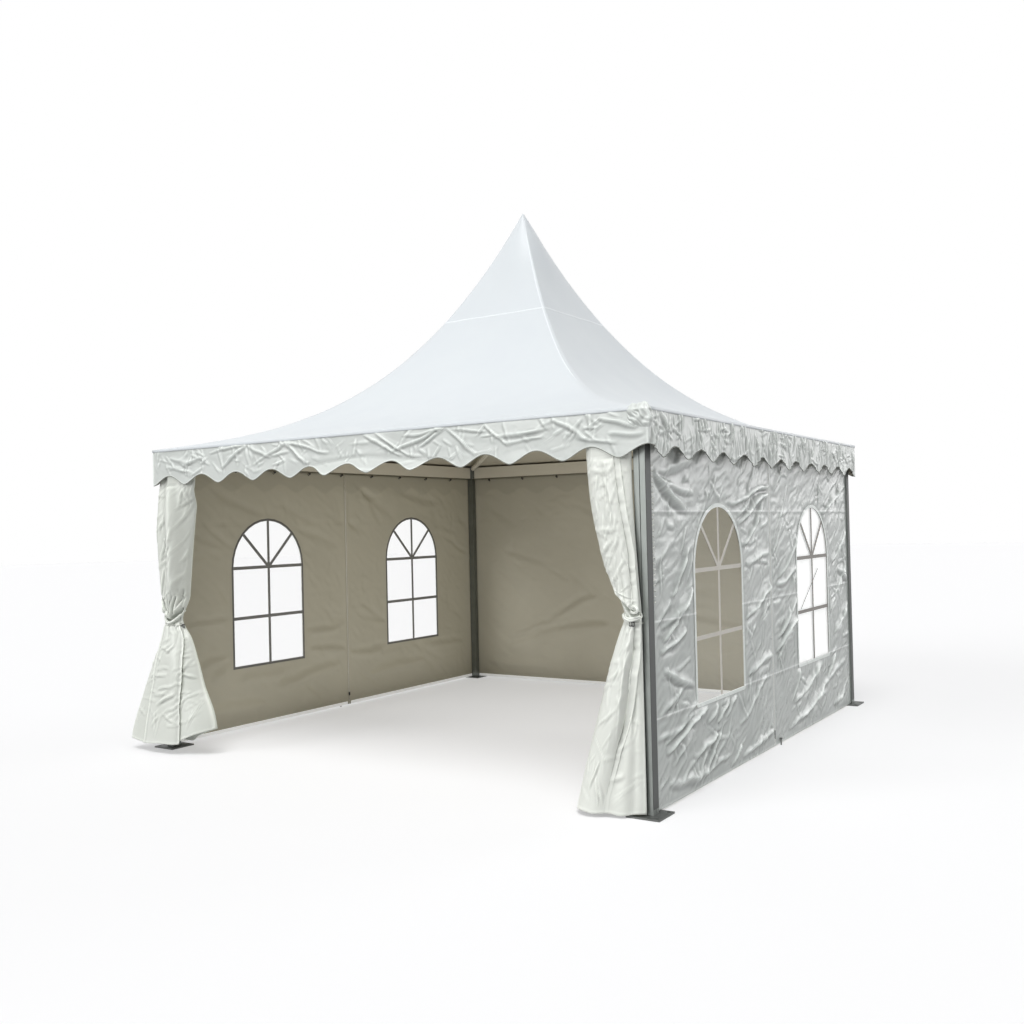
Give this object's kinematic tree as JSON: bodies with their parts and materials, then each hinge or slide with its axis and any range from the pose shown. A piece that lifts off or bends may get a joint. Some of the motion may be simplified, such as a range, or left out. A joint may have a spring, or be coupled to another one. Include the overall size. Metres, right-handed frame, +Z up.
{
  "type": "event tent",
  "caption": "Square pagoda party tent: aluminium frame, jacked king mast, concave roof cover with scalloped valance, windowed walls and tied front curtains.",
  "frame": {"origin": "on the ground under the mast, at the middle of the four foot plates' undersides", "axes": "+Z up; the open front with its two curtains faces -Y; the wall that shows in the picture's right half is at +X"},
  "size_m": [4.18, 4.18, 4.1237],
  "materials": {
    "profile_aluminium": "mill-finish extruded profile, satin",
    "rail_aluminium": "anodised rail, satin",
    "cast_aluminium": "cast corner block, matt",
    "galvanised_steel": "hot-dip galvanised, dull",
    "zinc_plated_steel": "zinc plated, bright",
    "black_nylon": "moulded nylon",
    "roof_vinyl": "coated polyester sheet, smooth, slightly blue white",
    "valance_vinyl": "coated polyester sheet, creased",
    "wall_vinyl": "coated polyester sheet, grey white outside and taupe inside",
    "curtain_vinyl": "coated polyester sheet, warm white",
    "strap_webbing": "woven webbing",
    "clear_vinyl": "clear film",
    "bar_vinyl": "welded vinyl strip",
    "blind_vinyl": "coated polyester sheet, white, smooth"
  },
  "bodies": {
    "root": {"centre_hub": "galvanised_steel", "corner_bracket_front_left": "cast_aluminium", "corner_bracket_front_right": "cast_aluminium", "corner_bracket_rear_left": "cast_aluminium", "corner_bracket_rear_right": "cast_aluminium", "curtain_rail": "rail_aluminium", "eave_beam_front": "profile_aluminium", "eave_beam_left": "profile_aluminium", "eave_beam_rear": "profile_aluminium", "eave_beam_right": "profile_aluminium", "foot_plate_front_left": "galvanised_steel", "foot_plate_front_right": "galvanised_steel", "foot_plate_rear_left": "galvanised_steel", "foot_plate_rear_right": "galvanised_steel", "hip_rafter_front_left": "profile_aluminium", "hip_rafter_front_right": "profile_aluminium", "hip_rafter_rear_left": "profile_aluminium", "hip_rafter_rear_right": "profile_aluminium", "left_wall_front_panel": "wall_vinyl", "left_wall_rear_panel": "wall_vinyl", "leg_front_left": "profile_aluminium", "leg_front_right": "profile_aluminium", "leg_rear_left": "profile_aluminium", "leg_rear_right": "profile_aluminium", "lock_pin_front_left": "zinc_plated_steel", "lock_pin_front_right": "zinc_plated_steel", "lock_pin_rear_left": "zinc_plated_steel", "lock_pin_rear_right": "zinc_plated_steel", "rear_wall": "wall_vinyl", "right_wall_front_panel": "wall_vinyl", "right_wall_rear_panel": "wall_vinyl", "roof_cover": "roof_vinyl", "valance_front": "valance_vinyl", "valance_left": "valance_vinyl", "valance_rear": "valance_vinyl", "valance_right": "valance_vinyl", "wall_peg_left": "galvanised_steel", "wall_peg_right": "galvanised_steel", "wall_rail_left": "rail_aluminium", "wall_rail_rear": "rail_aluminium", "wall_rail_right": "rail_aluminium", "window_bars_left_front": "bar_vinyl", "window_bars_left_rear": "bar_vinyl", "window_bars_right_front": "bar_vinyl", "window_bars_right_rear": "bar_vinyl", "window_blind_right_rear": "blind_vinyl", "window_pane_left_front": "clear_vinyl", "window_pane_left_rear": "clear_vinyl", "window_pane_right_front": "clear_vinyl", "window_pane_right_rear": "clear_vinyl"},
    "mast": {"king_mast": "profile_aluminium", "mast_cap": "black_nylon", "jack_nut": "zinc_plated_steel"},
    "jack": {"jack_screw": "zinc_plated_steel"},
    "left_zip": {"zip_slider_left": "black_nylon"},
    "right_zip": {"zip_slider_right": "black_nylon"},
    "left_curtain": {"curtain_left": "curtain_vinyl", "tie_strap_left": "strap_webbing"},
    "right_curtain": {"curtain_right": "curtain_vinyl", "tie_strap_right": "strap_webbing"}
  },
  "joints": [
    {"name": "jack_turn", "type": "hinge", "parent": "root", "child": "jack", "pos_m": [0, 0, 2.43], "axis": [0, 0, 1], "range_deg": [0, 5040]},
    {"name": "mast_lift", "type": "slide", "parent": "root", "child": "mast", "axis": [0, 0, 1], "range_m": [-0.1402, 0]},
    {"name": "left_zip_run", "type": "slide", "parent": "root", "child": "left_zip", "axis": [0, 0, 1], "range_m": [0, 1.94]},
    {"name": "right_zip_run", "type": "slide", "parent": "root", "child": "right_zip", "axis": [0, 0, 1], "range_m": [0, 1.94]},
    {"name": "left_curtain_run", "type": "slide", "parent": "root", "child": "left_curtain", "axis": [1, 0, 0], "range_m": [0, 1.45]},
    {"name": "right_curtain_run", "type": "slide", "parent": "root", "child": "right_curtain", "axis": [-1, 0, 0], "range_m": [0, 1.45]}
  ],
  "couplings": [
    {"joint": "mast_lift", "follows": "jack_turn", "m_per_rad": -0.0015915}
  ]
}
